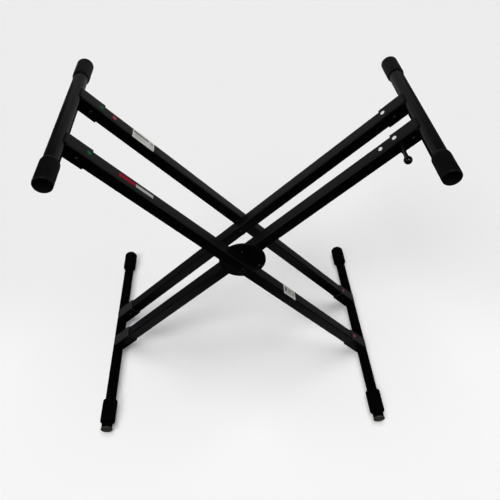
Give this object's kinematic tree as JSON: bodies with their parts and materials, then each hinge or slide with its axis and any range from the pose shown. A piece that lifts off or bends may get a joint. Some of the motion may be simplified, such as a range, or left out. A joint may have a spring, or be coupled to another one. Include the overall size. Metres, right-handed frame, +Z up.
{
  "type": "keyboard stand",
  "caption": "Folding double-braced X stand for a keyboard, with rubber-ended arms and legs, a disc-covered pivot lock and a pull knob that releases it.",
  "frame": {"origin": "on the floor, below the middle of the pivot line, at the centre of the overall plan", "axes": "+Z up, +Y towards the rear (the player stands at -Y), +X towards the side with the release knob"},
  "size_m": [0.7518, 0.615, 0.7787],
  "materials": {
    "black_steel": "satin black powder coat",
    "cover_steel": "gloss black powder coat",
    "grip_rubber": "black, ribbed lengthwise, semi-gloss",
    "foot_rubber": "matt black",
    "plug_plastic": "pale grey, matt",
    "zinc_plate": "zinc plated",
    "zinc_steel": "zinc plated",
    "spring_steel": "bright spring wire",
    "slider_plastic": "black nylon",
    "spacer_plastic": "black nylon",
    "knob_steel": "gloss black",
    "black_fastener": "black oxide, satin"
  },
  "bodies": {
    "outer_frame": {"front_pivot_bolt": "black_fastener", "front_pivot_nut": "black_fastener", "front_pivot_washer": "zinc_steel", "index_plate": "zinc_plate", "lock_cover": "cover_steel", "outer_arm": "black_steel", "outer_arm_bolt_front": "black_fastener", "outer_arm_bolt_rear": "black_fastener", "outer_arm_grip_front": "grip_rubber", "outer_arm_grip_rear": "grip_rubber", "outer_arm_socket_front": "black_steel", "outer_arm_socket_rear": "black_steel", "outer_brace_front": "black_steel", "outer_brace_rear": "black_steel", "outer_foot_sleeve_front": "foot_rubber", "outer_foot_sleeve_rear": "foot_rubber", "outer_leg": "black_steel", "outer_leg_bolt_front": "black_fastener", "outer_leg_bolt_rear": "black_fastener", "outer_leg_plug_front": "plug_plastic", "outer_leg_plug_rear": "plug_plastic", "outer_leg_socket_front": "black_steel", "outer_leg_socket_rear": "black_steel", "outer_pivot_bush_front": "zinc_steel", "outer_pivot_bush_rear": "zinc_steel", "plate_screw_arm_side": "black_fastener", "plate_screw_leg_side": "black_fastener", "rear_pivot_bolt": "black_fastener", "rear_pivot_nut": "black_fastener", "rear_pivot_spacer": "spacer_plastic", "rear_pivot_washer": "zinc_steel"},
    "inner_frame": {"inner_arm": "black_steel", "inner_arm_bolt_front": "black_fastener", "inner_arm_bolt_rear": "black_fastener", "inner_arm_grip_front": "grip_rubber", "inner_arm_grip_rear": "grip_rubber", "inner_arm_socket_front": "black_steel", "inner_arm_socket_rear": "black_steel", "inner_brace_front": "black_steel", "inner_brace_rear": "black_steel", "inner_foot_sleeve_front": "foot_rubber", "inner_foot_sleeve_rear": "foot_rubber", "inner_leg": "black_steel", "inner_leg_bolt_front": "black_fastener", "inner_leg_bolt_rear": "black_fastener", "inner_leg_plug_front": "plug_plastic", "inner_leg_plug_rear": "plug_plastic", "inner_leg_socket_front": "black_steel", "inner_leg_socket_rear": "black_steel", "inner_pivot_bush_front": "zinc_steel", "inner_pivot_bush_rear": "zinc_steel", "release_spring": "spring_steel", "spring_stop": "zinc_steel"},
    "release": {"lock_pawl": "zinc_steel", "lock_pin": "zinc_steel", "release_knob": "knob_steel", "release_rod": "zinc_steel", "release_slider": "slider_plastic"}
  },
  "joints": [
    {"name": "fold", "type": "hinge", "parent": "outer_frame", "child": "inner_frame", "pos_m": [0, 0, 0.3893], "axis": [0, -1, 0], "range_deg": [-20, 81]},
    {"name": "release", "type": "slide", "parent": "inner_frame", "child": "release", "axis": [0.6937, 0, 0.7203], "range_m": [0, 0.008], "stiffness_N_per_m": 800, "springref_m": -0.01, "deforming": ["release_spring"]}
  ]
}
